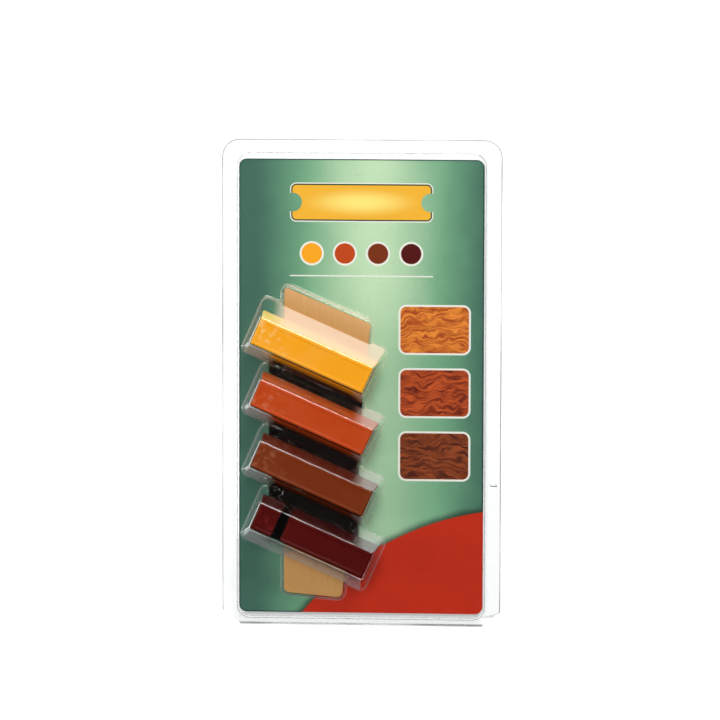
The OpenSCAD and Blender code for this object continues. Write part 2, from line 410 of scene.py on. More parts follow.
class Tree:
    """Adds nodes to one shader tree and wires them."""

    def __init__(self, tree: bpy.types.NodeTree) -> None:
        """Keeps the tree that the nodes go into."""
        self.nodes = tree.nodes
        self.links = tree.links

    def feed(self, socket: Socket, value: Any) -> None:
        """Wires an input to a socket, or sets the input's plain value.

        Args:
            socket: The input.
            value: Socket that feeds it, or its value.
        """
        if isinstance(value, bpy.types.NodeSocket):
            self.links.new(value, socket)
        else:
            socket.default_value = value

    def add(self, kind: str, wires: dict[Any, Any], **settings: Any) -> bpy.types.Node:
        """Adds one node.

        Args:
            kind: Node type, without its prefix.
            wires: Value or socket for each input, by name or number.
            settings: Properties of the node.

        Returns:
            The node.
        """
        node = self.nodes.new("ShaderNode" + kind)
        for name, value in settings.items():
            setattr(node, name, value)
        for name, value in wires.items():
            self.feed(node.inputs[name], value)
        return node

    def group(self, tree: bpy.types.NodeTree, wires: dict[str, Any]) -> bpy.types.Node:
        """Places a node group with its own values."""
        return self.add("Group", wires, node_tree=tree)

    def math(self, operation: str, *values: Any) -> Socket:
        """One step of arithmetic."""
        return self.add("Math", dict(enumerate(values)), operation=operation).outputs[0]

    def chain(self, operation: str, first: Any, *others: Any) -> Any:
        """Carries one operation over several values.

        Args:
            operation: What is done with the result so far and the next value.
            first: The first value.
            others: The values after it.

        Returns:
            The last result.
        """
        for other in others:
            first = self.math(operation, first, other)
        return first

    def vector(self, operation: str, *values: Any) -> Socket:
        """One step of vector arithmetic with a vector result."""
        return self.add("VectorMath", dict(enumerate(values)), operation=operation).outputs[0]

    def measure(self, operation: str, *values: Any) -> Socket:
        """One step of vector arithmetic with a plain number as result."""
        return self.add("VectorMath", dict(enumerate(values)), operation=operation).outputs["Value"]

    def split(self, vector: Socket) -> Any:
        """Parts of a vector, by axis."""
        return self.add("SeparateXYZ", {0: vector}).outputs

    def moved_up(self, place: Socket, amount: Socket) -> Socket:
        """Place moved along Y."""
        return self.vector("ADD", place, self.add("CombineXYZ", {"Y": amount}).outputs[0])

    def ease(self, value: Any, start: float, end: float) -> Socket:
        """Smooth step from 0 at start to 1 at end."""
        wires = {"Value": value, "From Min": start, "From Max": end}
        return self.add("MapRange", wires, interpolation_type="SMOOTHSTEP").outputs[0]

    def mix(self, share: Any, first: Any, second: Any) -> Socket:
        """Colour that goes from the first to the second as share goes from 0 to 1."""
        return self.add("Mix", {0: share, 6: first, 7: second}, data_type="RGBA").outputs[2]

    def noise(self, place: Socket, scale: float, detail: float, rough: float = 0.5) -> Socket:
        """Soft noise between 0 and 1."""
        wires = {"Vector": place, "Scale": scale, "Detail": detail, "Roughness": rough}
        return self.add("TexNoise", wires).outputs["Fac"]

    @cached_property
    def place(self) -> Socket:
        """Place on the piece, in metres."""
        return self.add("TexCoord", {}).outputs["Object"]

    @cached_property
    def normal(self) -> Socket:
        """Way that the surface faces, in the piece's own axes."""
        return self.add("TexCoord", {}).outputs["Normal"]

    def show(self, shader: bpy.types.Node) -> None:
        """Puts a shader on the surface."""
        self.add("OutputMaterial", {"Surface": shader.outputs[0]})

    def rounded(self, place: Socket, middle: Any, half: Any, corner: Any,
                soft: Any) -> tuple[Socket, Socket]:
        """Draws a flat patch with round corners.

        Args:
            place: Place on the piece.
            middle: Middle of the patch.
            half: Half its width and height.
            corner: Radius of its corners.
            soft: Width of its soft edge.

        Returns:
            Mask of the patch, and the distance out of its edge.
        """
        away = self.vector("ABSOLUTE", self.vector("SUBTRACT", place, middle))
        corners = self.add("CombineXYZ", {"X": corner, "Y": corner}).outputs[0]
        past = self.vector("ADD", self.vector("SUBTRACT", away, half), corners)
        past = self.vector("MULTIPLY", past, (1.0, 1.0, 0.0))
        outside = self.measure("LENGTH", self.vector("MAXIMUM", past, (0.0, 0.0, 0.0)))
        parts = self.split(past)
        inside = self.math("MINIMUM", self.math("MAXIMUM", parts["X"], parts["Y"]), 0.0)
        distance = self.math("SUBTRACT", self.math("ADD", outside, inside), corner)
        share = self.math("SUBTRACT", 0.5, self.math("DIVIDE", distance, soft))
        return self.add("Clamp", {0: share}).outputs[0], distance


class Groups:
    """Surface effects that several finishes share, each built once."""

    CLOUD_SCALE = 90.0
    CLOUD_HEIGHT = 0.6
    GRAIN_SCALE = 1400.0
    GRAIN_HEIGHT = 0.25
    STREAK_STRETCH = (60.0, 900.0, 60.0)
    STREAK_RANGE = (0.58, 0.72)
    STREAK_HEIGHT = -0.15
    PLANK_STRETCH = (130.0, 900.0, 1.0)
    PLANK_RANGE = (0.34, 0.66)
    SWAY_SCALE = 140.0
    SWAY = 9.0

    @staticmethod
    def start(name: str, inputs: dict[str, str], outputs: dict[str, str]) -> tuple[Any, ...]:
        """Makes a group with its sockets.

        Args:
            name: Name of the group.
            inputs: Type of each input socket, by name.
            outputs: Type of each output socket, by name.

        Returns:
            The group, its tree, and the sockets that its values come from and go to.
        """
        group = bpy.data.node_groups.new(name, "ShaderNodeTree")
        for way, sockets in (("INPUT", inputs), ("OUTPUT", outputs)):
            for title, kind in sockets.items():
                group.interface.new_socket(name=title, in_out=way, socket_type="NodeSocket" + kind)
        entry = group.nodes.new("NodeGroupInput")
        leave = group.nodes.new("NodeGroupOutput")
        return group, Tree(group), entry.outputs, leave.inputs

    @staticmethod
    @cache
    def patch() -> bpy.types.NodeTree:
        """Flat printed patch with round corners.

        Returns:
            The group, with the patch's mask and the distance out of its edge.
        """
        inputs = {"Place": "Vector", "Middle": "Vector", "Half": "Vector"}
        inputs |= {"Corner": "Float", "Soft": "Float"}
        outputs = {"Mask": "Float", "Distance": "Float"}
        group, tree, given, out = Groups.start("rounded patch", inputs, outputs)
        mask, distance = tree.rounded(*(given[name] for name in inputs))
        tree.feed(out["Mask"], mask)
        tree.feed(out["Distance"], distance)
        return group

    @staticmethod
    @cache
    def handling() -> bpy.types.NodeTree:
        """Cloudy tone, fine grain and thin rubbed streaks of a handled surface.

        Returns:
            The group, with a mask for each and the height that they make.
        """
        inputs = {"Place": "Vector", "Fineness": "Float"}
        outputs = {"Cloud": "Float", "Grain": "Float", "Streak": "Float", "Height": "Float"}
        group, tree, given, out = Groups.start("handling marks", inputs, outputs)
        scale = {0: given["Place"], 3: given["Fineness"]}
        scaled = tree.add("VectorMath", scale, operation="SCALE").outputs[0]
        cloud = tree.noise(scaled, Groups.CLOUD_SCALE, 3.0)
        grain = tree.noise(scaled, Groups.GRAIN_SCALE, 4.0, 0.7)
        stretched = tree.vector("MULTIPLY", scaled, Groups.STREAK_STRETCH)
        streak = tree.ease(tree.noise(stretched, 1.0, 5.0, 0.65), *Groups.STREAK_RANGE)
        fine = tree.math("MULTIPLY", grain, Groups.GRAIN_HEIGHT)
        height = tree.math("MULTIPLY_ADD", cloud, Groups.CLOUD_HEIGHT, fine)
        tree.feed(out["Cloud"], cloud)
        tree.feed(out["Grain"], grain)
        tree.feed(out["Streak"], streak)
        tree.feed(out["Height"], tree.math("MULTIPLY_ADD", streak, Groups.STREAK_HEIGHT, height))
        return group

    @staticmethod
    @cache
    def planks() -> bpy.types.NodeTree:
        """Plain wood grain between a pale and a dark tone.

        Returns:
            The group, with the colour of the wood.
        """
        inputs = {"Place": "Vector", "Pale": "Color", "Dark": "Color"}
        group, tree, given, out = Groups.start("plain wood grain", inputs, {"Colour": "Color"})
        drawn = tree.vector("MULTIPLY", given["Place"], Groups.PLANK_STRETCH)
        bent = tree.noise(given["Place"], Groups.SWAY_SCALE, 2.0)
        shifted = tree.moved_up(drawn, tree.math("MULTIPLY", bent, Groups.SWAY))
        bands = tree.ease(tree.noise(shifted, 1.0, 6.0, 0.6), *Groups.PLANK_RANGE)
        tree.feed(out["Colour"], tree.mix(bands, given["Dark"], given["Pale"]))
        return group


def new_material(name: str) -> tuple[bpy.types.Material, Tree]:
    """Makes an empty node material.

    Args:
        name: Name of the finish.

    Returns:
        The material and its tree.
    """
    material = bpy.data.materials.new(name)
    material.use_nodes = True
    material.node_tree.nodes.clear()
    return material, Tree(material.node_tree)


def dress(piece: Object, material: bpy.types.Material) -> None:
    """Gives a piece one material all over."""
    piece.data.materials.clear()
    piece.data.materials.append(material)


@dataclass(frozen=True)
class StickShadeField:
    """Slanting field of painted shade behind the four sticks, as wide as the valleys between them, where the
    card and the applicator are darkened for the deep shade between the sticks.
    """

    middle: Point = (-17.2 * MM, -26.1 * MM)
    half: Point = (16.5 * MM, 37.4 * MM)
    corner_r: float = 1 * MM
    soft: float = 0.8 * MM

    def straight(self, tree: Tree) -> Socket:
        """Finds the place from the field's middle, with the slant taken out.

        Args:
            tree: The finish's tree.

        Returns:
            The place, with the field upright.
        """
        off = tree.vector("SUBTRACT", tree.place, (*self.middle, 0.0))
        level = tree.math("MULTIPLY", tree.split(off)["X"], math.tan(STICK_TILT))
        return tree.moved_up(off, level)

    def printed(self, tree: Tree) -> Socket:
        """Masks the field for its painted shade on the card and the applicator.

        Args:
            tree: The finish's tree.

        Returns:
            1 in the field, 0 outside it.
        """
        wires = {"Place": self.straight(tree), "Half": (*self.half, 0.0)}
        wires |= {"Corner": self.corner_r, "Soft": self.soft}
        return tree.group(Groups.patch(), wires).outputs["Mask"]

    def mask(self, tree: Tree) -> Socket:
        """Mask of the field for the duller gloss in its painted shade and for the painted reflections on the
        sheet, with nodes of the finish's own.
        """
        straight = self.straight(tree)
        return tree.rounded(straight, (0.0, 0.0, 0.0), (*self.half, 0.0), self.corner_r, self.soft)[0]


@dataclass(frozen=True)
class Finish:
    """Handled surface: how fine its marks are, how dull it is and how deep its relief is."""

    fineness: float = 1.0
    dull: float = 0.4
    dull_marks: float = 0.2
    relief: float = 0.08
    relief_depth: float = 0.1 * MM

    def marks(self, tree: Tree) -> Any:
        """Handling marks of the surface, by name."""
        return tree.group(Groups.handling(), {"Place": tree.place, "Fineness": self.fineness}).outputs

    def touch(self, tree: Tree, mark: Socket, height: Socket) -> dict[str, Socket]:
        """Makes the roughness and the relief of the surface.

        Args:
            tree: The finish's tree.
            mark: Mark that makes the surface duller.
            height: Height of the relief.

        Returns:
            Sockets for the surface's shader, by input.
        """
        wires = {"Strength": self.relief, "Distance": self.relief_depth, "Height": height}
        rough = tree.math("MULTIPLY_ADD", mark, self.dull_marks, self.dull)
        return {"Roughness": rough, "Normal": tree.add("Bump", wires).outputs[0]}


@dataclass(frozen=True)
class ClearSheetFinish(Finish):
    """Clear formed plastic with a slight wobble, hazed on its walls and pale along its folds, with painted
    reflections, glints and shade on its flanks and edges.

    A haze is a share of the sheet turned to a matte colour, which carries real haze and painted light alike.
    A slope is a range of the outward face's Z, and a lean is a range of its share towards the hinge, in which
    a haze sets in.
    """

    tint: Ink = (0.995, 1.0, 0.998, 1.0)
    # Matte colour of the real haze and of the painted reflections and glints.
    haze: Ink = (0.85, 0.86, 0.87, 1.0)
    lamp_tint: Ink = (0.96, 0.965, 0.962, 1.0)
    fineness: float = 0.9
    dull: float = 0.025
    dull_marks: float = 0.05
    relief: float = 0.015
    relief_depth: float = 0.4 * MM
    refraction: float = 1.53
    # Steep walls: haze from deep drawing, and a painted highlight for the pale lines on end walls and pocket
    # walls.
    wall_haze_and_glint: float = 0.08
    wall_slope: Point = (0.38, 0.1)
    outer_slope: Point = (0.2, 0.3)
    # Painted reflection: flanks that face the hinge show a wax-tinted veil for the lit card and applicator
    # that they reflect.
    shaded_flank_reflection: float = 0.31
    shaded_lean: Point = (0.7, 0.86)
    # Painted highlight: glints on the flanks that face the top lamp, right of the sticks' left ends, and a
    # stronger painted glare on the gentler slope of the amber stick's upper flank.
    lit_flank_glint: float = 0.24
    lit_lean: Point = (-0.7, -0.8)
    lit_from: Point = (-32 * MM, -26 * MM)
    gentle_flank_glare: float = 0.38
    gentle_slope: Point = (0.43, 0.52)
    # Painted reflection: a wax-coloured band high on the hinge-facing flanks in the valleys, for the next
    # stick's lit side.
    valley_band_reflection: float = 0.45
    band_rise: Point = (7.5 * MM, 13 * MM)
    # Folds: whitening along the feet of the walls, which also serves as a painted highlight for the light
    # lines there.
    fold_whitening_and_glint: float = 0.2
    fold_slope: Point = (0.98, 0.86)
    fold_fall: Point = (5.3 * MM, 3.9 * MM)
    panel_step: Point = (3.8 * MM, 4 * MM)
    # Painted reflection: share of the nearest wax's colour in the haze outside the field; inside the field
    # the colour is all wax.
    wax_reflection_share: float = 0.4
    row_soft: float = 1 * MM
    field_soft: float = 5 * MM
    # Painted shade: an uneven grey line along the cut edge and across the hinge, for the dark refraction at
    # the sheet's edge.
    edge_shade_grey: Ink = ink(104, 106, 103)
    edge_shade_share: float = 0.3
    rim_width: float = 0.45 * MM
    rim_r: float = 6.5 * MM
    rim_soft: float = 0.1 * MM
    rim_onset: Point = (0.0, 0.05)
    dash: Point = (0.35, 0.65)
    dash_scale: float = 30.0
    dash_least: float = 0.3

    def rim(self, tree: Tree) -> Socket:
        """Draws an uneven grey line of painted shade on the cut edge round the flange and along the hinge.

        Args:
            tree: The sheet's tree.

        Returns:
            Share between 0 and 1.
        """
        low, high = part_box("front_shell")
        middle = (low + high) / 2
        half = (high - low) / 2
        inner = (half.x - self.rim_width, half.y - self.rim_width, 0.0)
        corner = self.rim_r - self.rim_width
        inside, _ = tree.rounded(tree.place, (middle.x, middle.y, 0.0), inner, corner, self.rim_soft)
        outside = tree.math("SUBTRACT", 1.0, inside)
        dash = tree.ease(tree.noise(tree.place, self.dash_scale, 2.0), *self.dash)
        dashes = tree.math("MULTIPLY_ADD", dash, 1 - self.dash_least, self.dash_least)
        return tree.chain("MULTIPLY", outside, dashes, self.edge_shade_share)

    def painted_wax_reflection(self, tree: Tree) -> Socket:
        """Finds the colour of the painted reflection of the wax in the walls, stick by stick.

        Args:
            tree: The sheet's tree.

        Returns:
            The colour of the wax that is nearest.
        """
        slant = math.tan(STICK_TILT)
        spot = tree.split(tree.place)
        level = tree.math("MULTIPLY_ADD", spot["X"], slant, spot["Y"])
        rows = []
        for tone in WaxTone:
            low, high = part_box("stick_" + tone.name.lower())
            middle = (low + high) / 2
            rows.append((middle.y + middle.x * slant, ink(*tone.value[0])))
        colour = rows[0][1]
        for (upper, _), (lower, wax) in zip(rows, rows[1:]):
            border = (upper + lower) / 2
            past = tree.ease(level, border + self.row_soft, border - self.row_soft)
            colour = tree.mix(past, colour, wax)
        return colour

    def drawn(self, tree: Tree, field: Socket) -> Socket:
        """Shares out the haze and the painted light on what stands above the panel: steep walls, flanks and
        folds.

        Args:
            tree: The sheet's tree.
            field: Mask of the field behind the sticks.

        Returns:
            Share between 0 and 1.
        """
        normal = tree.normal
        outward = tree.split(normal)["Z"]
        upright = tree.math("ABSOLUTE", outward)
        spot = tree.split(tree.place)
        hingeward = (-math.sin(STICK_TILT), -math.cos(STICK_TILT), 0.0)
        down = tree.measure("DOT_PRODUCT", normal, hingeward)
        free = tree.math("SUBTRACT", 1.0, field)
        outer = tree.ease(outward, *self.outer_slope)
        # Haze and painted highlight on steep walls.
        wall = tree.math("MULTIPLY", tree.ease(upright, *self.wall_slope), self.wall_haze_and_glint)
        # Painted reflection on the flanks that face the hinge, outside the field.
        lower = tree.ease(down, *self.shaded_lean)
        shaded = tree.math("MULTIPLY", lower, self.shaded_flank_reflection)
        # Painted glint and glare on the flanks that face away from the hinge.
        gentle = tree.ease(outward, *self.gentle_slope)
        most = tree.math("MULTIPLY_ADD", gentle, self.gentle_flank_glare - self.lit_flank_glint, self.lit_flank_glint)
        upper = tree.ease(down, *self.lit_lean)
        lit = tree.chain("MULTIPLY", upper, most, tree.ease(spot["X"], *self.lit_from))
        flank = tree.chain("MULTIPLY", tree.math("MAXIMUM", shaded, lit), free, outer)
        # Painted reflection of the wax high in the valleys.
        band = tree.ease(spot["Z"], *self.band_rise)
        band = tree.chain("MULTIPLY", band, self.valley_band_reflection, lower, outer, field)
        # Whitening and painted highlight along the feet of the walls.
        near_panel = tree.ease(spot["Z"], *self.fold_fall)
        fold = tree.chain("MULTIPLY", tree.ease(upright, *self.fold_slope), near_panel, free, self.fold_whitening_and_glint)
        # Real haze and painted light together, above the panel only.
        haze_and_painted_share = tree.chain("MAXIMUM", wall, tree.math("ADD", flank, band), fold)
        return tree.math("MULTIPLY", haze_and_painted_share, tree.ease(spot["Z"], *self.panel_step))

    def material(self) -> bpy.types.Material:
        """Makes the clear sheet, which lets lamps through to what it holds.

        Returns:
            The material.
        """
        material, tree = new_material("clear sheet")
        marks = self.marks(tree)
        sheet = tree.add("BsdfPrincipled", self.touch(tree, marks["Streak"], marks["Cloud"]) | {
            "Base Color": self.tint,
            "IOR": self.refraction,
            "Transmission Weight": 1.0,
        })
        # Painted reflection of the wax in the walls colours the haze.
        field = StickShadeField(soft=self.field_soft).mask(tree)
        warmth = tree.math("MULTIPLY_ADD", field, 1 - self.wax_reflection_share, self.wax_reflection_share)
        colour = tree.mix(warmth, self.haze, self.painted_wax_reflection(tree))
        # Painted shade along the cut edge and the hinge.
        rim = self.rim(tree)
        colour = tree.mix(tree.ease(rim, *self.rim_onset), colour, self.edge_shade_grey)
        # Matte layer that carries the haze and the painted reflections, glints and edge shade.
        haze_and_painted_light = tree.add("BsdfDiffuse", {"Color": colour})
        share = tree.math("MAXIMUM", self.drawn(tree, field), rim)
        drawn = tree.add("MixShader", {0: share, 1: sheet.outputs[0], 2: haze_and_painted_light.outputs[0]})
        through = tree.add("BsdfTransparent", {"Color": self.lamp_tint})
        rays = tree.add("LightPath", {}).outputs
        passing = tree.math("MAXIMUM", rays["Is Shadow Ray"], rays["Is Diffuse Ray"])
        tree.show(tree.add("MixShader", {0: passing, 1: drawn.outputs[0], 2: through.outputs[0]}))
        return material


@dataclass(frozen=True)
class WaxFinish(Finish):
    """Cast wax with cloudy tone, a dull bloom and rubbed left ends, and sides in their own colour as painted
    light and shade.
    """

    tone: WaxTone = WaxTone.AMBER
    dull: float = 0.3
    dull_marks: float = 0.14
    relief: float = 0.2
    relief_depth: float = 0.12 * MM
    refraction: float = 1.44
    gloss: float = 0.1
    painted_side_slope: Point = (0.8, 0.35)
    rubbed_from: Point = (-22 * MM, -36 * MM)
    bloom: float = 0.95
    bloom_scale: float = 380.0
    bloom_patch: Point = (0.5, 0.66)
    cloud: float = 0.14
    cloud_patch: Point = (0.4, 0.75)
    streak: float = 0.12
    subsurface: float = 0.12
    scatter: tuple[float, float, float] = (1.0, 0.5, 0.25)
    scatter_depth: float = 1.5 * MM

    def material(self) -> bpy.types.Material:
        """Makes the wax.

        Returns:
            The material.
        """
        material, tree = new_material("wax " + self.tone.name.lower())
        body, skin, side = (ink(*values) for values in self.tone.value)
        # Painted light and shade: faces sloping away from the top take the side colour.
        base = tree.mix(tree.ease(tree.split(tree.normal)["Z"], *self.painted_side_slope), body, side)
        marks = self.marks(tree)
        rubbed = tree.ease(tree.split(tree.place)["X"], *self.rubbed_from)
        patch = tree.ease(tree.noise(tree.place, self.bloom_scale, 5.0, 0.65), *self.bloom_patch)
        bloom = tree.chain("MULTIPLY", rubbed, patch, self.bloom)
        cloud = tree.math("MULTIPLY", tree.ease(marks["Cloud"], *self.cloud_patch), self.cloud)
        share = tree.chain("ADD", bloom, cloud, tree.math("MULTIPLY", marks["Streak"], self.streak))
        tree.show(tree.add("BsdfPrincipled", self.touch(tree, marks["Grain"], marks["Height"]) | {
            "Base Color": tree.mix(tree.add("Clamp", {0: share}).outputs[0], base, skin),
            "IOR": self.refraction,
            "Specular IOR Level": self.gloss,
            "Subsurface Weight": self.subsurface,
            "Subsurface Radius": self.scatter,
            "Subsurface Scale": self.scatter_depth,
        }))
        return material


@dataclass(frozen=True)
class ApplicatorFinish(Finish):
    """Tan moulded plastic with faint flow lines, darkened and dulled under the sticks as painted shade for
    the deep shade between them.
    """

    tan: Ink = ink(192, 140, 79)
    worn: Ink = ink(206, 158, 100)
    # Painted shade: near-black where the applicator lies in the deep shade between the sticks.
    painted_shade: Ink = ink(9, 6, 5)
    painted_shade_half: Point = (40 * MM, 37.4 * MM)
    fineness: float = 0.6
    dull: float = 0.38
    relief: float = 0.15
    cloud: float = 0.25
    flow: float = 0.3
    flow_range: Point = (0.45, 0.7)
    flow_stretch: tuple[float, float, float] = (900.0, 40.0, 1.0)
    gloss: float = 0.32
    painted_shade_gloss: float = 0.02

    def material(self) -> bpy.types.Material:
        """Makes the applicator's plastic.

        Returns:
            The material.
        """
        material, tree = new_material("tan applicator")
        marks = self.marks(tree)
        flow = tree.noise(tree.vector("MULTIPLY", tree.place, self.flow_stretch), 1.0, 3.0)
        cloud = tree.math("MULTIPLY", marks["Cloud"], self.cloud)
        share = tree.math("MULTIPLY_ADD", tree.ease(flow, *self.flow_range), self.flow, cloud)
        # Painted shade under the sticks: near-black colour and little gloss in the field.
        field = StickShadeField(half=self.painted_shade_half)
        plain = tree.mix(share, self.tan, self.worn)
        gloss_loss = self.painted_shade_gloss - self.gloss
        tree.show(tree.add("BsdfPrincipled", self.touch(tree, marks["Grain"], marks["Height"]) | {
            "Base Color": tree.mix(field.printed(tree), plain, self.painted_shade),
            "Specular IOR Level": tree.math("MULTIPLY_ADD", field.mask(tree), gloss_loss, self.gloss),
        }))
        return material


@dataclass(frozen=True)
class CardFinish(Finish):
    """Printed board: green ground with a pale glow, blank plaque, wax dots, wood tiles and a red sweep, with
    painted shade: a black field behind the sticks and a dark line round its edge.
    """

    # Painted shade: dark line round the card's edge, for the dark edge along the panel's wall.
    painted_edge_shade: Ink = ink(14, 44, 42)
    ground_dark: Ink = ink(62, 100, 86)
    ground_mid: Ink = ink(112, 165, 128)
    ground_pale: Ink = ink(192, 221, 182)
    paper: Ink = ink(236, 234, 224)
    paper_dark: Ink = ink(196, 190, 176)
    # Painted shade: near-black field behind the sticks for the deep shade in the valleys, with less gloss.
    field: Ink = ink(8, 6, 5)
    gloss: float = 0.12
    field_gloss: float = 0.01
    board_grain: float = 0.3
    speck: float = 0.2
    speck_range: Point = (0.5, 0.75)
    glow_cloud: float = 0.16
    glow_range: Point = (0.35, 1.0)
    green_range: Point = (0.0, 0.55)
    glow_middle: float = 4.5 * MM
    glow_reach: float = 44 * MM
    glow_fade: Point = (40 * MM, 4 * MM)
    glow_loss: float = 0.45
    edge_line: float = 0.4 * MM
    edge_r: float = 2.2 * MM
    edge_soft: float = 0.25 * MM
    red: Ink = ink(194, 44, 20)
    red_dark: Ink = ink(150, 34, 24)
    red_cloud: float = 0.35
    sweep_middle: Point = (60 * MM, -150 * MM)
    sweep_r: float = 105 * MM
    sweep_soft: float = 0.3 * MM
    sweep_shade: Ink = ink(22, 38, 28)
    shade_most: float = 0.85
    shade_reach: Point = (4.2 * MM, 0.8 * MM)
    shade_ragged: float = 2.4 * MM
    gold: Ink = ink(240, 176, 50)
    gold_pale: Ink = ink(252, 226, 120)
    gold_range: Point = (0.95, 0.1)
    plaque_line: Ink = ink(24, 62, 44)
    plaque_middle: Point = (0.0, 66 * MM)
    plaque_half: Point = (25 * MM, 6.2 * MM)
    plaque_r: float = 1.4 * MM
    plaque_lines: Point = (0.9 * MM, 0.5 * MM)
    bite_r: float = 3.4 * MM
    dot_row: float = 47.5 * MM
    dot_step: float = 12 * MM
    dot_r: float = 3.7 * MM
    rule_drop: float = 8.14 * MM
    rule_half: Point = (26 * MM, 0.22 * MM)
    tile_column: float = 26.6 * MM
    tile_top: float = 20 * MM
    tile_step: float = 23 * MM
    tile_half: Point = (12.4 * MM, 8.4 * MM)
    tile_r: float = 2.2 * MM
    tile_tones: tuple[tuple[Ink, Ink], ...] = (
        (ink(232, 138, 52), ink(150, 52, 20)),
        (ink(196, 84, 36), ink(98, 28, 12)),
        (ink(150, 70, 34), ink(62, 22, 10)),
    )
    border: float = 0.7 * MM

    def patch(self, tree: Tree, middle: Point, half: Point, corner: float, soft: float = 0.12 * MM) -> Any:
        """Mask and distance of one printed patch, by name."""
        wires = {"Place": tree.place, "Middle": (*middle, 0.0), "Half": (*half, 0.0)}
        return tree.group(Groups.patch(), wires | {"Corner": corner, "Soft": soft}).outputs

    def disc(self, tree: Tree, middle: Point, radius: float) -> Socket:
        """Mask of a round printed spot."""
        return self.patch(tree, middle, (radius, radius), radius)["Mask"]

    def ground(self, tree: Tree, marks: Any) -> Socket:
        """Prints the green ground with a pale band up its middle and fine grain, and paints a dark line round
        its edge as painted shade for the dark edge along the panel's wall.

        Args:
            tree: The card's tree.
            marks: Handling marks of the card.

        Returns:
            The ground's colour.
        """
        spot = tree.split(tree.place)
        off = tree.math("ABSOLUTE", tree.math("SUBTRACT", spot["X"], self.glow_middle))
        near = tree.math("SUBTRACT", 1.0, tree.math("DIVIDE", off, self.glow_reach))
        cloud = tree.math("MULTIPLY_ADD", marks["Cloud"], self.glow_cloud, -self.glow_cloud / 2)
        near = tree.math("ADD", near, cloud)
        outer = tree.mix(tree.ease(near, *self.green_range), self.ground_dark, self.ground_mid)
        full = tree.math("MULTIPLY_ADD", tree.ease(spot["Y"], *self.glow_fade), -self.glow_loss, 1.0)
        glow = tree.math("MULTIPLY", tree.ease(near, *self.glow_range), full)
        colour = tree.mix(glow, outer, self.ground_pale)
        speck = tree.math("MULTIPLY", tree.ease(marks["Grain"], *self.speck_range), self.speck)
        colour = tree.mix(speck, colour, self.ground_dark)
        # Painted shade: a dark line round the card's edge.
        low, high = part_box("printed_card")
        middle = (low + high) / 2
        half = (high - low) / 2
        inner = (half.x - self.edge_line, half.y - self.edge_line)
        inside = self.patch(tree, (middle.x, middle.y), inner, self.edge_r, self.edge_soft)["Mask"]
        return tree.mix(inside, self.painted_edge_shade, colour)

    def sweep(self, tree: Tree, colour: Socket, marks: Any) -> Socket:
        """Prints the red sweep in the lower right corner, with a soft dark edge.

        Args:
            tree: The card's tree.
            colour: What is printed so far.
            marks: Handling marks of the card.

        Returns:
            The colour with the sweep.
        """
        half = (self.sweep_r, self.sweep_r)
        arc = self.patch(tree, self.sweep_middle, half, self.sweep_r, self.sweep_soft)
        ragged = tree.math("MULTIPLY_ADD", marks["Cloud"], self.shade_ragged, arc["Distance"])
        near = tree.math("MULTIPLY", tree.ease(ragged, *self.shade_reach), self.shade_most)
        shaded = tree.mix(near, colour, self.sweep_shade)
        red = tree.mix(tree.math("MULTIPLY", marks["Cloud"], self.red_cloud), self.red, self.red_dark)
        return tree.mix(arc["Mask"], shaded, red)

    def plaque(self, tree: Tree, colour: Socket) -> Socket:
        """Prints the blank gold plaque with hollow ends at the top.

        Args:
            tree: The card's tree.
            colour: What is printed so far.

        Returns:
            The colour with the plaque.
        """
        across, up = self.plaque_middle
        ends = (across - self.plaque_half[0], across + self.plaque_half[0])
        bites = [self.disc(tree, (end, up), self.bite_r) for end in ends]
        kept = tree.math("SUBTRACT", 1.0, tree.math("MAXIMUM", *bites))
        off = tree.vector("SUBTRACT", tree.place, (across, up, 0.0))
        spread = tree.vector("DIVIDE", off, (*self.plaque_half, 1.0))
        distance = tree.measure("LENGTH", tree.vector("MULTIPLY", spread, (1.0, 1.0, 0.0)))
        gold = tree.mix(tree.ease(distance, *self.gold_range), self.gold, self.gold_pale)
        for fill, grow in zip((self.paper, self.plaque_line, gold), (*self.plaque_lines, 0.0)):
            half = (self.plaque_half[0] + grow, self.plaque_half[1] + grow)
            mask = self.patch(tree, self.plaque_middle, half, self.plaque_r + grow)["Mask"]
            colour = tree.mix(tree.math("MULTIPLY", mask, kept), colour, fill)
        return colour

    def dots(self, tree: Tree, colour: Socket) -> Socket:
        """Prints a row of four dots in the wax tones over a plain white rule.

        Args:
            tree: The card's tree.
            colour: What is printed so far.

        Returns:
            The colour with the dots.
        """
        for index, tone in enumerate(WaxTone):
            middle = ((index - (len(WaxTone) - 1) / 2) * self.dot_step, self.dot_row)
            ring = self.disc(tree, middle, self.dot_r + self.border)
            colour = tree.mix(ring, colour, self.paper)
            colour = tree.mix(self.disc(tree, middle, self.dot_r), colour, ink(*tone.value[0]))
        middle = (0.0, self.dot_row - self.rule_drop)
        rule = self.patch(tree, middle, self.rule_half, self.rule_half[1])["Mask"]
        return tree.mix(rule, colour, self.paper)

    def tiles(self, tree: Tree, colour: Socket) -> Socket:
        """Prints three wood tiles with white borders down the right side.

        Args:
            tree: The card's tree.
            colour: What is printed so far.

        Returns:
            The colour with the tiles.
        """
        wide = (self.tile_half[0] + self.border, self.tile_half[1] + self.border)
        for index, (pale, dark) in enumerate(self.tile_tones):
            middle = (self.tile_column, self.tile_top - index * self.tile_step)
            grain = tree.group(Groups.planks(), {"Place": tree.place, "Pale": pale, "Dark": dark}).outputs[0]
            border = self.patch(tree, middle, wide, self.tile_r + self.border)["Mask"]
            inner = self.patch(tree, middle, self.tile_half, self.tile_r)["Mask"]
            colour = tree.mix(inner, tree.mix(border, colour, self.paper), grain)
        return colour

    def material(self) -> bpy.types.Material:
        """Makes the printed board; its back and edges stay plain.

        Returns:
            The material.
        """
        material, tree = new_material("printed board")
        marks = self.marks(tree)
        colour = self.ground(tree, marks)
        colour = self.sweep(tree, colour, marks)
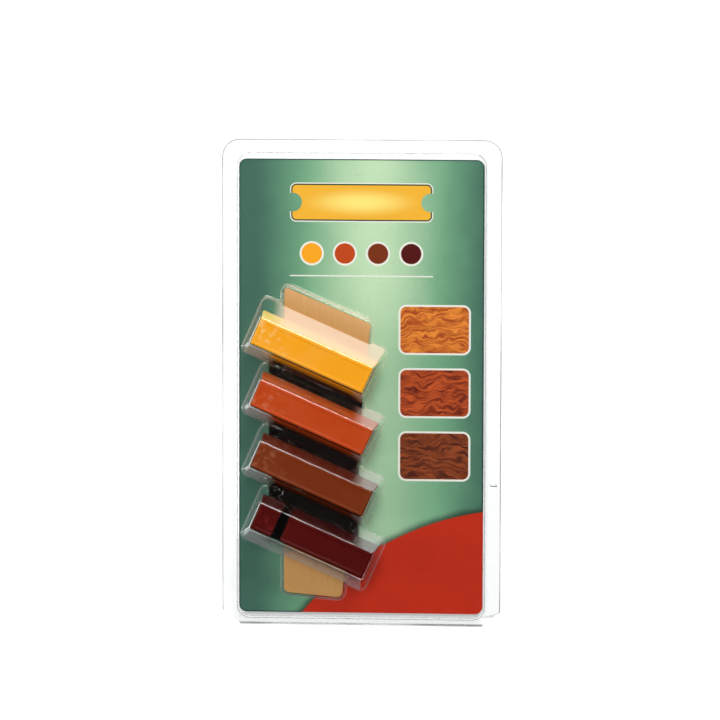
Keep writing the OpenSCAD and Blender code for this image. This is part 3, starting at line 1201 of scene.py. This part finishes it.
        # Painted shade: black field behind the sticks, dull as well as dark.
        field = StickShadeField()
        colour = tree.mix(field.printed(tree), colour, self.field)
        colour = self.plaque(tree, colour)
        colour = self.dots(tree, colour)
        colour = self.tiles(tree, colour)
        facing = tree.split(tree.add("NewGeometry", {}).outputs["Normal"])["Z"]
        board = tree.mix(tree.math("MULTIPLY", marks["Grain"], self.board_grain), self.paper, self.paper_dark)
        gloss_loss = self.field_gloss - self.gloss
        tree.show(tree.add("BsdfPrincipled", self.touch(tree, marks["Grain"], marks["Height"]) | {
            "Base Color": tree.mix(tree.math("GREATER_THAN", facing, 0.5), board, colour),
            "Specular IOR Level": tree.math("MULTIPLY_ADD", field.mask(tree), gloss_loss, self.gloss),
        }))
        return material


@dataclass(frozen=True)
class FloorFinish:
    """White table top that stays white to the eye and keeps a soft shadow."""

    white: Ink = (0.86, 0.86, 0.86, 1.0)
    fibre: Ink = (0.82, 0.82, 0.82, 1.0)
    fibre_share: float = 0.05
    fibre_scale: float = 300.0
    own_light: float = 0.42

    def material(self) -> bpy.types.Material:
        """Makes the table top.

        Returns:
            The material.
        """
        material, tree = new_material("white table")
        fibre = tree.math("MULTIPLY", tree.noise(tree.place, self.fibre_scale, 2.0), self.fibre_share)
        table = tree.add("BsdfDiffuse", {"Color": tree.mix(fibre, self.white, self.fibre)})
        rays = tree.add("LightPath", {}).outputs
        seen = [rays[f"Is {kind} Ray"] for kind in ("Camera", "Glossy", "Transmission")]
        light = tree.math("MULTIPLY", tree.chain("MAXIMUM", *seen), self.own_light)
        shine = tree.add("Emission", {"Strength": light})
        tree.show(tree.add("AddShader", {0: table.outputs[0], 1: shine.outputs[0]}))
        return material


@dataclass
class Pack:
    """Heights and outlines that the two shells share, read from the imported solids."""

    sheet: float = 0.4 * MM
    corner_r: float = 6.5 * MM
    cut_corner_r: float = 1 * MM
    cut_rise: float = 5.05 * MM
    flange_side: float = 5.2 * MM
    flange_top: float = 4.2 * MM
    flange_hinge: float = 1.75 * MM
    panel_draft: float = math.radians(10)
    panel_corner_r: float = 4.5 * MM
    panel_edge_r: float = 1 * MM
    panel_foot_r: float = 0.4 * MM
    panel_rise: float = 3 * MM
    panel_seat: float = 0.02 * MM
    root: float = 0.15 * MM

    def __post_init__(self) -> None:
        """Reads the flange, the hinge and the levels."""
        self.low, self.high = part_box("front_shell")
        self.hinge_low, self.hinge_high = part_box("living_hinge")
        self.card_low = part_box("printed_card")[0]
        self.front_flange = self.low.z + self.sheet
        self.back_flange = self.sheet
        self.panel_top = self.low.z + self.panel_rise + self.sheet

    def panel_wall(self, low: float, high: float) -> Wall:
        """Section of the panel's wall, or of the plug's, between two heights."""
        return Wall(low - self.panel_seat, high, self.panel_draft, self.panel_edge_r, self.panel_foot_r)

    def panel_at(self, height: float, inset: float) -> Outline:
        """Sharp outline of the panel's outer wall at a height, drawn in by an inset.

        Args:
            height: Height above the table.
            inset: Distance inwards.

        Returns:
            The outline.
        """
        low = (self.low.x + self.flange_side, self.low.y + self.flange_hinge)
        high = (self.high.x - self.flange_side, self.high.y - self.flange_top)
        lean = (height - self.low.z) * math.tan(self.panel_draft)
        return Outline.rectangle(low, high).spread(-inset - lean)

    def flange_slab(self, name: str, upper: float) -> Object:
        """Cuts the flange's outline: round top corners, slanting cuts at the hinge.

        Args:
            name: Name of the piece.
            upper: Height of the flange's upper face.

        Returns:
            A thin closed slab, out of edit mode.
        """
        outline = Outline.rectangle((self.low.x, self.low.y), (self.high.x, self.high.y))
        slab = Bench.plate(name, outline, (0, 0, self.corner_r, self.corner_r), upper - self.sheet / 2)
        run = self.low.x - self.hinge_low.x
        for side in (-1, 1):
            Bench.pick_all(slab)
            edge = (self.hinge_high.x * side, self.low.y, 0.0)
            bpy.ops.mesh.bisect(plane_co=edge, plane_no=(side * self.cut_rise, run, 0.0), clear_outer=True,
                                threshold=NEAR)
            turn = math.pi - math.atan2(-run, self.cut_rise)
            corner = (self.high.x * side, self.low.y + self.cut_rise)
            Bench.round_corner(slab, corner, self.cut_corner_r, turn, 3)
        Bench.pick_all(slab)
        Bench.pull_up(self.sheet / 2)
        bpy.ops.object.mode_set(mode="OBJECT")
        return slab


@dataclass
class FrontShell:
    """Clear formed front: flange, raised panel, applicator pocket and four stick cavities."""

    pack: Pack
    stick_room: float = 0.2 * MM
    cavity_side_draft: float = math.radians(23.5)
    cavity_upper_draft: float = math.radians(33)
    cavity_lower_draft: float = math.radians(28)
    cavity_end_draft: float = math.radians(11)
    cavity_edge_r: float = 1 * MM
    cavity_corner_r: float = 2.4 * MM
    foot_r: float = 0.9 * MM
    seat: float = 0.03 * MM
    valley_r: float = 0.5 * MM
    valley_rise: float = 1 * MM
    valley_line: float = 0.999
    valley_turn: float = -0.5
    least_corner_r: float = 0.15 * MM
    pocket_room: float = 0.25 * MM
    pocket_play: float = 0.5 * MM
    pocket_draft: float = math.radians(16)
    pocket_edge_r: float = 0.8 * MM
    pocket_corner_r: float = 2.65 * MM
    pocket_rise: float = 0.65 * MM
    rib_half: Point = (1.25 * MM, 0.35 * MM)
    rib_corner_r: float = 0.3 * MM
    rib_draft: float = math.radians(35)
    rib_edge_r: float = 0.25 * MM
    rib_foot_r: float = 0.1 * MM
    rib_seat: float = 0.01 * MM
    rib_rise: float = 0.5 * MM
    rib_up: float = 51.55 * MM

    def panel(self) -> Object:
        """Raises the panel on the flange.

        Returns:
            The panel's block.
        """
        pack = self.pack
        wall = pack.panel_wall(pack.front_flange, pack.panel_top)
        top = pack.panel_at(pack.panel_top, 0.0)
        return Bench.formed_block("panel", top, pack.panel_corner_r, wall, pack.root)

    def rib(self) -> Object:
        """Raises the short rib across the right flange.

        Returns:
            The rib's block.
        """
        pack = self.pack
        low, high = pack.front_flange - self.rib_seat, pack.front_flange + self.rib_rise
        wall = Wall(low, high, self.rib_draft, self.rib_edge_r, self.rib_foot_r)
        middle = Vector((pack.high.x - pack.flange_side / 2, pack.low.y + self.rib_up))
        half = Vector(self.rib_half)
        top = Outline.rectangle(tuple(middle - half), tuple(middle + half))
        return Bench.formed_block("rib", top, self.rib_corner_r, wall, pack.root)

    def pocket(self, applicator: Outline) -> Object:
        """Raises the applicator's pocket on the panel.

        Args:
            applicator: Sharp outline of the applicator.

        Returns:
            The pocket's block.
        """
        corners = applicator.corners
        room = Outline((corners[0], corners[1], *((x, y + self.pocket_play) for x, y in corners[2:])))
        low, high = self.pack.panel_top - self.seat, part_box("applicator")[1].z + self.pocket_rise
        wall = Wall(low, high, self.pocket_draft, self.pocket_edge_r, self.foot_r)
        top = room.spread(self.pocket_room + self.pack.sheet)
        return Bench.formed_block("pocket", top, self.pocket_corner_r, wall, self.pack.root)

    def cavity(self, middle: Point, lower_draft: float, upper_draft: float) -> Object:
        """Raises one stick cavity on the panel.

        Args:
            middle: Middle of the cavity.
            lower_draft: Slope of its lower side from upright.
            upper_draft: Slope of its upper side from upright.

        Returns:
            The cavity's block, tilted and in place.
        """
        low, high = self.pack.panel_top - self.seat, self.pack.high.z
        half = [size / 2 + self.stick_room + self.pack.sheet for size in STICK_TOP]
        drafts = (self.cavity_end_draft, lower_draft, upper_draft)
        ends, lower, upper = (Wall(low, high, draft, self.cavity_edge_r, self.foot_r) for draft in drafts)
        end_reach = (high - low) * math.tan(self.cavity_end_draft)
        spread = (self.cavity_corner_r - self.cavity_edge_r) / end_reach

        def radius_at(height: float) -> float:
            """Radius of the corners at a height."""
            reach = ends.reach(height)
            return max(self.least_corner_r, self.cavity_edge_r + reach * (spread if reach > 0 else 1.0))

        def outline_at(height: float) -> Outline:
            """Draws the sharp outline at a height.

            Args:
                height: Height above the table.

            Returns:
                The outline.
            """
            side = half[0] + ends.reach(height)
            bottom, top = -half[1] - lower.reach(height), half[1] + upper.reach(height)
            return Outline.rectangle((-side, bottom), (side, top))

        now, round_now = outline_at(low), radius_at(low)
        block = Bench.plate("cavity", now, [round_now] * 4, low - self.pack.root)
        Bench.pull_up(self.pack.root)
        heights = ends.heights()
        for below, above in zip(heights, heights[1:]):
            Bench.pick(block, Pick.FACES,
                       lambda face: face.normal.z > LEVEL and face.calc_center_median().z > below - NEAR)
            Bench.pull_up(above - below)
            new, round_new = outline_at(above), radius_at(above)
            self.move_corners(block, above, (now, round_now), (new, round_new))
            now, round_now = new, round_new
        Bench.place(block, (*middle, 0.0), -STICK_TILT)
        return block

    @staticmethod
    def move_corners(block: Object, height: float, was: tuple[Outline, float],
                     now: tuple[Outline, float]) -> None:
        """Draws the top ring of a block in, corner by corner.

        Args:
            block: The block in edit mode.
            height: Height of the ring.
            was: Sharp outline and corner radius that the ring has.
            now: Sharp outline and corner radius that it gets.
        """
        middle = sum(y for _, y in was[0].corners) / 4
        centres = zip(was[0].spread(-was[1]).corners, now[0].spread(-now[1]).corners)
        places = [(old, new, old[0] > 0, old[1] > middle) for old, new in centres]
        ring = bmesh.from_edit_mesh(block.data)
        ring.verts.ensure_lookup_table()
        quarters = [
            {vert.index for vert in ring.verts
             if abs(vert.co.z - height) < NEAR and (vert.co.x > 0) == right and (vert.co.y > middle) == top}
            for _, _, right, top in places
        ]
        for (old, new, _, _), quarter in zip(places, quarters):
            Bench.pick(block, Pick.VERTICES, lambda vert: vert.index in quarter)
            scale = now[1] / was[1]
            bpy.ops.transform.resize(value=(scale, scale, 1.0), center_override=(*old, height))
            bpy.ops.transform.translate(value=(new[0] - old[0], new[1] - old[1], 0.0))

    def round_valleys(self, shell: Object) -> None:
        """Rounds the straight valleys where two cavities meet.

        Args:
            shell: The open outer skin.
        """
        along = Vector((math.cos(STICK_TILT), -math.sin(STICK_TILT), 0.0))
        floor = self.pack.panel_top + self.valley_rise

        def in_valley(edge: Any) -> bool:
            """Tells whether an edge lies along the bottom of a valley.

            Args:
                edge: The edge.

            Returns:
                True for an edge to round.
            """
            first, last = (vert.co for vert in edge.verts)
            level = abs(first.z - last.z) < NEAR and first.z > floor
            straight = abs((last - first).normalized().dot(along)) > self.valley_line
            hollow = edge.is_manifold and edge.calc_face_angle_signed() < self.valley_turn
            return level and straight and hollow

        Bench.edit(shell)
        count = Bench.pick(shell, Pick.EDGES, in_valley)
        LOG.info("valley edges rounded: %d", count)
        bpy.ops.mesh.bevel(offset=self.valley_r, segments=3, affect="EDGES", clamp_overlap=False)

    def build(self, applicator: Outline, middles: Sequence[Point], finish: bpy.types.Material) -> Object:
        """Builds and dresses the front shell.

        Args:
            applicator: Sharp outline of the applicator.
            middles: Middle of each stick.
            finish: Clear material.

        Returns:
            The finished shell.
        """
        shell = self.pack.flange_slab("front_shell_formed", self.pack.front_flange)
        blocks = [self.panel(), self.rib(), self.pocket(applicator)]
        for index, middle in enumerate(middles):
            lower = self.cavity_lower_draft if index == 0 else self.cavity_side_draft
            upper = self.cavity_upper_draft if index == len(middles) - 1 else self.cavity_side_draft
            blocks.append(self.cavity(middle, lower, upper))
        for block in blocks:
            Bench.unite(shell, block)
        self.round_valleys(shell)
        Bench.to_sheet(shell, self.pack.front_flange, self.pack.sheet)
        Bench.smooth(shell)
        dress(shell, finish)
        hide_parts("front_shell")
        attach(shell, "lid")
        return shell


@dataclass
class BackShell:
    """Clear formed back: flange and the plug that carries the card."""

    pack: Pack
    plug_gap: float = 0.3 * MM

    def build(self, finish: bpy.types.Material) -> Object:
        """Builds and dresses the back shell.

        Args:
            finish: Clear material.

        Returns:
            The finished shell.
        """
        pack = self.pack
        fit = pack.sheet + self.plug_gap
        shell = pack.flange_slab("back_shell_formed", pack.back_flange)
        wall = pack.panel_wall(pack.back_flange, pack.card_low.z)
        top = pack.panel_at(pack.card_low.z, fit)
        Bench.unite(shell, Bench.formed_block("plug", top, pack.panel_corner_r - fit, wall, pack.root))
        Bench.to_sheet(shell, pack.back_flange, pack.sheet)
        Bench.smooth(shell)
        dress(shell, finish)
        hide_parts("back_shell")
        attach(shell, "back")
        return shell


@dataclass
class LivingHinge:
    """Thin fold of the sheet that joins the two shells along the bottom edge."""

    pack: Pack
    facets: int = 48

    def build(self, finish: bpy.types.Material) -> Object:
        """Builds and dresses the fold.

        Args:
            finish: Clear material.

        Returns:
            The finished fold.
        """
        low, high = self.pack.hinge_low, self.pack.hinge_high
        middle = Vector((0.0, high.y, (low.z + high.z) / 2))
        radius = (high.z - low.z) / 2
        Bench.clear()
        bpy.ops.mesh.primitive_cylinder_add(vertices=self.facets, radius=radius, depth=high.x - low.x,
                                            end_fill_type="NOTHING", rotation=(0.0, RIGHT_ANGLE, 0.0))
        fold = bpy.context.object
        fold.name = "living_hinge_fold"
        fold.data.name = fold.name
        fold.location = middle
        bpy.ops.object.transform_apply(location=True, rotation=True, scale=True)
        Bench.edit(fold)
        Bench.pick_all(fold)
        bpy.ops.mesh.bisect(plane_co=middle, plane_no=(0.0, 1.0, 0.0), clear_outer=True, threshold=NEAR)
        Bench.apply(fold, "SOLIDIFY", thickness=self.pack.sheet, offset=-1.0, use_even_offset=True)
        Bench.smooth(fold)
        dress(fold, finish)
        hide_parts("living_hinge")
        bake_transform(fold)
        return fold


@dataclass
class WaxStick:
    """One cast stick, or the part of one that a break has left."""

    node: str
    body: str
    tone: WaxTone
    middle: Point
    span: Point | None = None
    length: float = STICK_TOP[0]
    width: float = STICK_TOP[1]
    side_draft: float = math.radians(12)
    end_draft: float = math.radians(6)
    edge_r: float = 0.5 * MM
    rim: float = 0.8 * MM
    sink: float = 0.14 * MM
    sink_slope: float = 0.5 * MM
    slices: int = 7
    waviness: float = 0.05 * MM
    wave: float = 5 * MM
    wave_middle: float = 0.6
    break_depth: float = 0.6 * MM
    break_grain: float = 1.2 * MM
    break_cuts: int = 4
    smooth_angle: float = 40.0

    def bar(self, name: str, height: float) -> Object:
        """Shapes the drafted bar with a slightly sunken top.

        Args:
            name: Name of the piece.
            height: Height of the bar.

        Returns:
            The bar around the origin, in edit mode.
        """
        foot = (self.length + 2 * height * math.tan(self.end_draft),
                self.width + 2 * height * math.tan(self.side_draft))
        Bench.clear()
        bpy.ops.mesh.primitive_cube_add(size=1.0)
        bar = Bench.adopt(name)
        bpy.ops.transform.resize(value=(*foot, height), center_override=(0, 0, 0))
        Bench.pick(bar, Pick.FACES, lambda face: face.normal.z > LEVEL)
        taper = (self.length / foot[0], self.width / foot[1], 1.0)
        bpy.ops.transform.resize(value=taper, center_override=(0, 0, 0))
        Bench.pick(bar, Pick.EDGES, lambda edge: any(vert.co.z > 0 for vert in edge.verts))
        bpy.ops.mesh.bevel(offset=self.edge_r, segments=3, affect="EDGES")
        Bench.pick(bar, Pick.FACES, lambda face: face.normal.z > LEVEL)
        bpy.ops.mesh.inset(thickness=self.rim - self.edge_r, depth=0.0)
        bpy.ops.mesh.inset(thickness=self.sink_slope, depth=-self.sink)
        for cut in range(1, self.slices):
            Bench.pick_all(bar)
            across = (cut / self.slices - 0.5) * foot[0]
            bpy.ops.mesh.bisect(plane_co=(across, 0.0, 0.0), plane_no=(1.0, 0.0, 0.0), threshold=NEAR)
        return bar

    def snap(self, bar: Object, end: float, keeps_left: bool) -> None:
        """Breaks the bar off at a distance from its left end, with a rough face.

        Args:
            bar: The bar around the origin.
            end: Distance of the break from the left end.
            keeps_left: Whether the left part stays.
        """
        across = end - self.length / 2
        Bench.edit(bar)
        Bench.pick_all(bar)
        bpy.ops.mesh.bisect(plane_co=(across, 0.0, 0.0), plane_no=(1.0, 0.0, 0.0), use_fill=True,
                            clear_outer=keeps_left, clear_inner=not keeps_left, threshold=NEAR)
        Bench.pick(bar, Pick.FACES, lambda face: abs(face.calc_center_median().x - across) < NEAR)
        bpy.ops.mesh.poke()
        bpy.ops.mesh.subdivide(number_cuts=self.break_cuts)
        Bench.pick(bar, Pick.VERTICES, lambda vert: abs(vert.co.x - across) < NEAR)
        bpy.ops.object.vertex_group_assign_new()
        crumble = bpy.data.textures.new(self.node + " crumble", "CLOUDS")
        crumble.noise_scale = self.break_grain
        inward = -self.break_depth if keeps_left else self.break_depth
        rough_face = bar.vertex_groups.active.name
        Bench.apply(bar, "DISPLACE", texture=crumble, direction="X", vertex_group=rough_face,
                    strength=inward, mid_level=0.0)
        bar.vertex_groups.clear()

    def build(self) -> Object:
        """Builds and dresses the stick.

        Returns:
            The finished stick.
        """
        low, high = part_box(self.node)
        bar = self.bar(self.node + "_cast", high.z - low.z)
        Bench.apply(bar, "SUBSURF", subdivision_type="SIMPLE", levels=2, render_levels=2)
        ripple = bpy.data.textures.new(self.node + " ripple", "CLOUDS")
        ripple.noise_scale = self.wave
        Bench.apply(bar, "DISPLACE", texture=ripple, strength=self.waviness, mid_level=self.wave_middle)
        if self.span is not None:
            left, right = self.span
            if left > 0:
                self.snap(bar, left, False)
            if right < self.length:
                self.snap(bar, right, True)
        Bench.place(bar, (*self.middle, (low.z + high.z) / 2), -STICK_TILT)
        Bench.smooth(bar, self.smooth_angle)
        dress(bar, WaxFinish(tone=self.tone).material())
        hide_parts(self.node)
        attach(bar, self.body)
        return bar


@dataclass
class Applicator:
    """Flat tan spatula with a slanting bevelled blade."""

    length: float = 111.5 * MM
    blade_width: float = 31.4 * MM
    blade_slope: float = math.radians(23)
    tail_width: float = 21.2 * MM
    tail_slope: float = math.radians(5)
    tail_r: float = 2 * MM
    blade_r: float = 1.2 * MM
    bevel_width: float = 5 * MM
    blade_edge: float = 0.6 * MM
    edge_r: float = 0.22 * MM
    sharp_edge: float = math.radians(50)
    tail_bottom: float = -76.1 * MM

    def outline(self) -> Outline:
        """Draws the sharp outline from the tail's left corner round to the blade.

        Returns:
            The outline.
        """
        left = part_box("applicator")[0].x
        low = self.tail_bottom
        return Outline((
            (left, low),
            (left + self.tail_width, low - self.tail_width * math.tan(self.tail_slope)),
            (left + self.blade_width, low + self.length - self.blade_width * math.tan(self.blade_slope)),
            (left, low + self.length),
        ))

    def build(self) -> Object:
        """Builds and dresses the applicator.

        Returns:
            The finished applicator.
        """
        low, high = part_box("applicator")
        thick = high.z - low.z
        outline = self.outline()
        radii = (self.tail_r, self.tail_r, self.blade_r, self.blade_r)
        blade = Bench.plate("applicator_moulded", outline, radii, low.z)
        Bench.pull_up(thick)
        lean = math.atan2(thick - self.blade_edge, self.bevel_width)
        out = Vector((math.sin(self.blade_slope), math.cos(self.blade_slope), 0.0)) * math.sin(lean)
        Bench.pick_all(blade)
        tip = (*outline.corners[3], low.z + self.blade_edge)
        slope = (out.x, out.y, math.cos(lean))
        bpy.ops.mesh.bisect(plane_co=tip, plane_no=slope, use_fill=True, clear_outer=True, threshold=NEAR)
        Bench.pick(blade, Pick.EDGES, lambda edge: edge.calc_face_angle(0.0) > self.sharp_edge)
        bpy.ops.mesh.bevel(offset=self.edge_r, segments=2, affect="EDGES")
        bpy.ops.object.mode_set(mode="OBJECT")
        Bench.smooth(blade)
        dress(blade, ApplicatorFinish().material())
        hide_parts("applicator")
        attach(blade, "applicator")
        return blade


@dataclass(frozen=True)
class Lamp:
    """One long soft lamp: where it hangs, seen from the middle of the pack, and its power in watts."""

    name: str
    azimuth: float
    elevation: float
    power: float
    size: Point = (0.7, 0.3)
    mirrored: bool = True
    away: float = 1.1


@dataclass
class Studio:
    """Table, lamps and camera at the photograph's viewing angle."""

    aim: tuple[float, float, float] = (-0.51 * MM, 8.74 * MM, 2 * MM)
    distance: float = 1.8
    frame_width: float = 260.86 * MM
    lean_up: float = math.radians(6)
    lean_right: float = math.radians(4)
    roll: float = math.radians(0.14)
    sensor: float = 36.0
    sight: float = 20.0
    floor_size: float = 8.0
    floor_cuts: int = 3
    world_grey: float = 0.02
    lamps: tuple[Lamp, ...] = (
        Lamp("top_lamp", math.radians(98), math.radians(62), 11.3, (0.8, 0.5)),
        Lamp("low_lamp", math.radians(72), math.radians(30), 5.5, (0.5, 0.15), mirrored=False),
        Lamp("left_lamp", math.radians(183), math.radians(22), 2.5, (0.3, 0.3)),
        Lamp("front_lamp", math.radians(280), math.radians(35), 2.0, (0.8, 0.4), mirrored=False),
    )

    def floor(self) -> None:
        """Lays the table top."""
        Bench.clear()
        bpy.ops.mesh.primitive_plane_add(size=self.floor_size)
        table = Bench.adopt("table_top")
        bpy.ops.mesh.subdivide(number_cuts=self.floor_cuts)
        bpy.ops.object.mode_set(mode="OBJECT")
        dress(table, FloorFinish().material())

    def hang(self, lamp: Lamp) -> None:
        """Hangs one lamp so that it faces the middle of the pack.

        Args:
            lamp: The lamp.
        """
        data = bpy.data.lights.new(lamp.name, "AREA")
        data.shape = "RECTANGLE"
        data.size, data.size_y = lamp.size
        data.energy = lamp.power
        hung = bpy.data.objects.new(lamp.name, data)
        hung.visible_glossy = lamp.mirrored
        hung.visible_transmission = lamp.mirrored
        bpy.context.scene.collection.objects.link(hung)
        flat = math.cos(lamp.elevation)
        across, up = math.cos(lamp.azimuth) * flat, math.sin(lamp.azimuth) * flat
        toward = Vector((across, up, math.sin(lamp.elevation)))
        hung.location = toward * lamp.away
        hung.rotation_euler = (-toward).to_track_quat("-Z", "Y").to_euler()

    def camera(self) -> None:
        """Sets the camera over the pack, with the pack's top edge up in the picture."""
        data = bpy.data.cameras.new("front_camera")
        data.sensor_width = self.sensor
        data.lens = data.sensor_width * self.distance / self.frame_width
        data.clip_end = self.sight
        camera = bpy.data.objects.new("front_camera", data)
        bpy.context.scene.collection.objects.link(camera)
        back = Vector((math.tan(self.lean_right), math.tan(self.lean_up), 1.0)).normalized()
        side = Vector((0, 1, 0)).cross(back).normalized()
        turned = Matrix((side, back.cross(side), back)).transposed().to_4x4()
        camera.matrix_world = Matrix.Translation(Vector(self.aim) + back * self.distance) @ turned
        camera.matrix_world = camera.matrix_world @ Matrix.Rotation(self.roll, 4, "Z")
        bpy.context.scene.camera = camera

    def build(self) -> None:
        """Sets up the whole studio."""
        scene = bpy.context.scene
        scene.view_settings.view_transform = "Standard"
        world = bpy.data.worlds.new("studio")
        world.use_nodes = True
        world.node_tree.nodes["Background"].inputs["Color"].default_value = (self.world_grey,) * 3 + (1.0,)
        scene.world = world
        self.floor()
        for lamp in self.lamps:
            self.hang(lamp)
        self.camera()


def middle_of(*nodes: str) -> Point:
    """Finds the middle of the box round some CAD nodes, seen from the front.

    Args:
        nodes: Names of the nodes.

    Returns:
        The middle.
    """
    boxes = [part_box(node) for node in nodes]
    low_x, low_y = (min(low[axis] for low, _ in boxes) for axis in (0, 1))
    high_x, high_y = (max(high[axis] for _, high in boxes) for axis in (0, 1))
    return ((low_x + high_x) / 2, (low_y + high_y) / 2)


def wax_sticks() -> list[WaxStick]:
    """Lists the sticks from the top down; the last one is snapped in two.

    Returns:
        The sticks.
    """
    broken = middle_of("stick_mahogany", "stick_mahogany_end")
    left, right = BREAK
    whole = [
        WaxStick("stick_amber", "amber_stick", WaxTone.AMBER, middle_of("stick_amber")),
        WaxStick("stick_orange", "orange_stick", WaxTone.ORANGE, middle_of("stick_orange")),
        WaxStick("stick_brown", "brown_stick", WaxTone.BROWN, middle_of("stick_brown")),
    ]
    return whole + [
        WaxStick("stick_mahogany_end", "mahogany_stick_end", WaxTone.MAHOGANY, broken, (0.0, left)),
        WaxStick("stick_mahogany", "mahogany_stick", WaxTone.MAHOGANY, broken, (right, WaxStick.length)),
    ]


def main() -> None:
    """Builds every piece in order and logs each piece's face count."""
    logging.basicConfig(level=logging.INFO, format="%(message)s")
    pack = Pack()
    clear = ClearSheetFinish().material()
    sticks = wax_sticks()
    applicator = Applicator()
    middles = sorted({stick.middle for stick in sticks}, key=lambda middle: middle[1])
    pieces = [stick.build() for stick in sticks]
    pieces.append(applicator.build())
    pieces.append(FrontShell(pack).build(applicator.outline(), middles, clear))
    pieces.append(BackShell(pack).build(clear))
    pieces.append(LivingHinge(pack).build(clear))
    dress(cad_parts["printed_card"], CardFinish().material())
    for piece in pieces:
        LOG.info("%s: %d faces", piece.name, len(piece.data.polygons))
    Studio().build()


if __name__ == "__main__":
    main()
